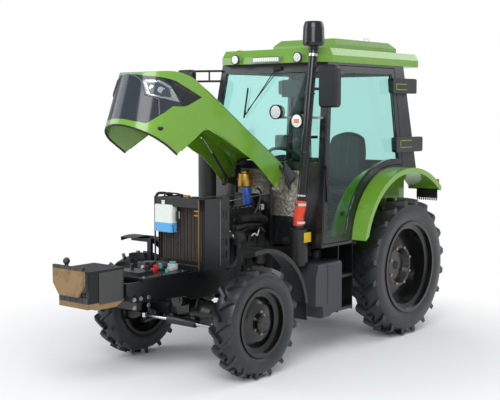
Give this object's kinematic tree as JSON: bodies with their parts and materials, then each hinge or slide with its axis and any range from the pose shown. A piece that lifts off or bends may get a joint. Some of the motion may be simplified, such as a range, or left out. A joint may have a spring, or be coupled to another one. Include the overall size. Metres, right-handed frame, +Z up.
{
  "type": "farm tractor with cab",
  "caption": "Compact four-wheel-drive farm tractor with a closed cab, its hood tilted open over the engine, plate ballast in front and a three-point linkage behind.",
  "frame": {"origin": "on the ground under the middle of the whole tractor's bounding box", "axes": "+X to the tractor's left, +Y to its rear, +Z up; the tractor faces -Y"},
  "size_m": [1.8, 4.4, 2.852],
  "materials": {
    "hood_green": "gloss",
    "mask_grey": "gloss",
    "lamp_lens": "clear",
    "chassis_black": "satin",
    "engine_black": "matte",
    "ballast_bronze": "matte",
    "rubber_tyre": "matte",
    "rim_black": "gloss",
    "cab_black": "satin",
    "glass_green": "clear",
    "plastic_black": "matte",
    "tank_grey": "satin",
    "elbow_red": "satin",
    "stack_black": "gloss",
    "bottle_white": "satin",
    "core_metal": "matte",
    "steel": "satin",
    "seat_cloth": "matte",
    "lens_red": "gloss",
    "muffler_grey": "matte"
  },
  "bodies": {
    "chassis": {"air_cleaner": "plastic_black", "battery_tray": "chassis_black", "cab_frame": "cab_black", "coolant_bottle": "bottle_white", "cowl_hoop": "chassis_black", "engine": "engine_black", "engine_fittings": "engine_black", "fan": "chassis_black", "front_axle": "chassis_black", "front_ballast": "ballast_bronze", "front_drive_shaft": "chassis_black", "front_frame": "chassis_black", "fuel_tank": "tank_grey", "intake_elbow": "elbow_red", "intake_stack": "stack_black", "mirrors": "plastic_black", "muffler": "muffler_grey", "radiator": "core_metal", "radiator_shroud": "chassis_black", "rear_fender_left": "hood_green", "rear_fender_right": "hood_green", "rear_hitch": "chassis_black", "rear_window": "glass_green", "roof": "hood_green", "seat_back": "seat_cloth", "seat_base": "chassis_black", "seat_cushion": "seat_cloth", "steering_console": "plastic_black", "steps": "chassis_black", "tail_lamps": "lens_red", "transmission": "engine_black", "windscreen": "glass_green", "work_lamps": "lamp_lens"},
    "rear_wheel_left": {"rear_tyre_left": "rubber_tyre", "rear_rim_left": "rim_black"},
    "rear_wheel_right": {"rear_tyre_right": "rubber_tyre", "rear_rim_right": "rim_black"},
    "front_wheel_left": {"front_tyre_left": "rubber_tyre", "front_rim_left": "rim_black"},
    "front_wheel_right": {"front_tyre_right": "rubber_tyre", "front_rim_right": "rim_black"},
    "steer_left": {"knuckle_left": "chassis_black", "front_fender_left": "plastic_black"},
    "steer_right": {"knuckle_right": "chassis_black", "front_fender_right": "plastic_black"},
    "steering_bar": {"steering_rod": "steel"},
    "hood": {"hood_panel": "hood_green", "hood_mask": "mask_grey", "headlamps": "lamp_lens"},
    "strut_tube": {"strut_barrel": "chassis_black"},
    "strut_piston": {"strut_rod": "steel"},
    "door_left": {"door_frame_left": "cab_black", "door_glass_left": "glass_green"},
    "door_right": {"door_frame_right": "cab_black", "door_glass_right": "glass_green"},
    "lift": {"lift_arms": "chassis_black"},
    "links": {"lower_links": "chassis_black"},
    "hangers": {"lift_rods": "chassis_black"}
  },
  "joints": [
    {"name": "rear_wheel_left_spin", "type": "hinge", "parent": "chassis", "child": "rear_wheel_left", "pos_m": [0.676, 1.252, 0.645], "axis": [1, 0, 0], "continuous": true},
    {"name": "steer_left", "type": "hinge", "parent": "chassis", "child": "steer_left", "pos_m": [0.505, -0.862, 0.446], "axis": [0, 0, 1], "range_deg": [-32, 32]},
    {"name": "front_wheel_left_spin", "type": "hinge", "parent": "steer_left", "child": "front_wheel_left", "pos_m": [0.653, -0.862, 0.446], "axis": [1, 0, 0], "continuous": true},
    {"name": "rear_wheel_right_spin", "type": "hinge", "parent": "chassis", "child": "rear_wheel_right", "pos_m": [-0.676, 1.252, 0.645], "axis": [1, 0, 0], "continuous": true},
    {"name": "steer_right", "type": "hinge", "parent": "chassis", "child": "steer_right", "pos_m": [-0.505, -0.862, 0.446], "axis": [0, 0, 1], "range_deg": [-32, 32]},
    {"name": "front_wheel_right_spin", "type": "hinge", "parent": "steer_right", "child": "front_wheel_right", "pos_m": [-0.653, -0.862, 0.446], "axis": [1, 0, 0], "continuous": true},
    {"name": "steering_bar_slide", "type": "slide", "parent": "chassis", "child": "steering_bar", "axis": [1, 0, 0], "range_m": [-0.07869, 0.07869]},
    {"name": "hood_hinge", "type": "hinge", "parent": "chassis", "child": "hood", "pos_m": [0, -0.048, 1.6], "axis": [1, 0, 0], "range_deg": [0, 33]},
    {"name": "strut_turn", "type": "hinge", "parent": "chassis", "child": "strut_tube", "pos_m": [-0.16, -0.234, 1.5], "axis": [1, 0, 0], "range_deg": [-0.2, 41.56]},
    {"name": "strut_slide", "type": "slide", "parent": "strut_tube", "child": "strut_piston", "axis": [0, -0.6614, 0.75], "range_m": [-0.10042, 0.0005]},
    {"name": "door_left_hinge", "type": "hinge", "parent": "chassis", "child": "door_left", "pos_m": [0.697, 1.582, 1.7], "axis": [-0.0786, -0.0937, 0.9925], "range_deg": [0, 75]},
    {"name": "door_right_hinge", "type": "hinge", "parent": "chassis", "child": "door_right", "pos_m": [-0.697, 1.582, 1.7], "axis": [-0.0786, 0.0937, -0.9925], "range_deg": [0, 75]},
    {"name": "lift_hinge", "type": "hinge", "parent": "chassis", "child": "lift", "pos_m": [0, 1.582, 0.83], "axis": [1, 0, 0], "range_deg": [-35, 30]},
    {"name": "link_hinge", "type": "hinge", "parent": "chassis", "child": "links", "pos_m": [0, 1.442, 0.432], "axis": [1, 0, 0], "range_deg": [-21.14, 18.15]},
    {"name": "hanger_hinge", "type": "hinge", "parent": "links", "child": "hangers", "pos_m": [0, 1.81177, 0.44491], "axis": [1, 0, 0], "range_deg": [-15.04, 17.51]}
  ],
  "couplings": [
    {"joint": "steer_right", "follows": "steer_left", "ratio": 1},
    {"joint": "steering_bar_slide", "follows": "steer_left", "m_per_rad": 0.14},
    {"joint": "strut_turn", "follows": "hood_hinge", "ratio": 1.2533},
    {"joint": "strut_slide", "follows": "hood_hinge", "m_per_rad": -0.17348},
    {"joint": "link_hinge", "follows": "lift_hinge", "ratio": 0.5983},
    {"joint": "hanger_hinge", "follows": "lift_hinge", "ratio": -0.4945}
  ]
}
